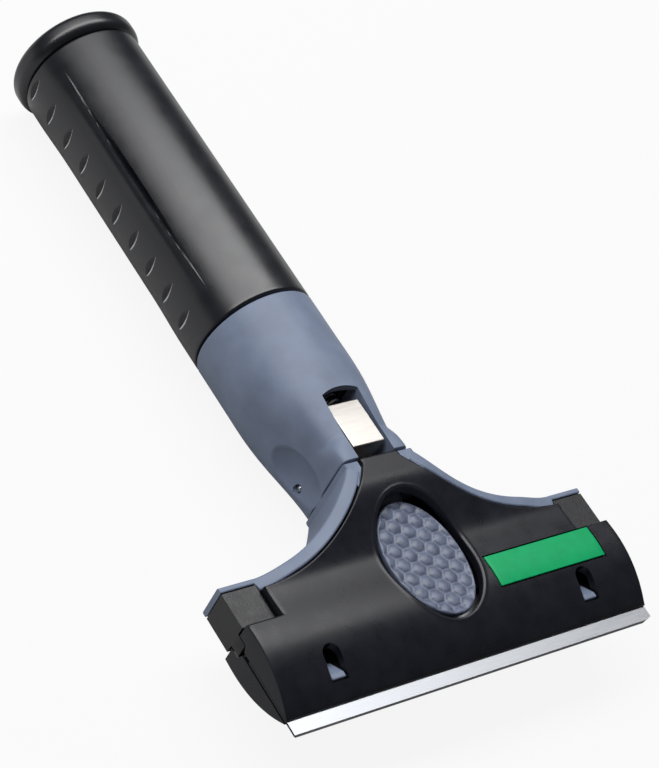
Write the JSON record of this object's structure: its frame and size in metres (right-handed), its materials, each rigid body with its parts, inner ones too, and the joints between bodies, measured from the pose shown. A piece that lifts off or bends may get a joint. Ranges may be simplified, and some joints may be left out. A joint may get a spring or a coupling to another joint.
{
  "type": "hand scraper",
  "caption": "Wide flat steel blade held in a hinged, button-released head on a round grip with a socket for an extension pole.",
  "frame": {"origin": "centre of the flat floor of the pole socket, on the handle's axis", "axes": "+Y along the handle from the head towards the socket's mouth, +Z out of the front where the button is, +X along the blade"},
  "size_m": [0.1002, 0.1835, 0.0318],
  "materials": {
    "black_grip_rubber": "satin, slightly soft",
    "black_nylon": "satin moulded",
    "black_glass_filled_nylon": "matt moulded",
    "grey_soft_rubber": "satin moulded, blue-grey",
    "green_plate": "glossy, bare",
    "polished_steel": "polished",
    "blade_steel": "rolled and ground",
    "spring_steel": "drawn",
    "zinc_plated_steel": "bright plated"
  },
  "bodies": {
    "handle": {"handle_core": "black_glass_filled_nylon", "grip_sleeve": "black_grip_rubber", "end_collar": "black_grip_rubber", "neck_shell": "grey_soft_rubber", "tang_pin_low": "zinc_plated_steel", "tang_pin_high": "zinc_plated_steel", "head_frame": "black_glass_filled_nylon", "head_rim": "grey_soft_rubber", "back_cover": "black_nylon", "back_screw_low_left": "zinc_plated_steel", "back_screw_low_right": "zinc_plated_steel", "back_screw_high_left": "zinc_plated_steel", "back_screw_high_right": "zinc_plated_steel", "blade": "blade_steel", "blade_hook_left": "grey_soft_rubber", "blade_hook_right": "grey_soft_rubber", "button_spring": "spring_steel", "latch_spring": "spring_steel"},
    "front_cover": {"front_cover": "black_nylon", "badge": "green_plate", "blade_clamp": "spring_steel"},
    "release_button": {"release_button": "grey_soft_rubber"},
    "lock_plate": {"lock_plate": "polished_steel"}
  },
  "joints": [
    {"name": "cover_swing", "type": "hinge", "parent": "handle", "child": "front_cover", "pos_m": [0, -0.1194, 0.00155], "axis": [1, 0, 0], "range_deg": [0, 60]},
    {"name": "button_press", "type": "slide", "parent": "handle", "child": "release_button", "axis": [0, 0, -1], "range_m": [0, 0.0016], "stiffness_N_per_m": 2500, "springref_m": -0.0012, "deforming": ["button_spring"]},
    {"name": "latch_slide", "type": "slide", "parent": "handle", "child": "lock_plate", "axis": [0, 1, 0], "range_m": [0, 0.002], "stiffness_N_per_m": 500, "springref_m": -0.002, "deforming": ["latch_spring"]}
  ],
  "couplings": [
    {"joint": "latch_slide", "follows": "button_press", "ratio": 1.25}
  ]
}
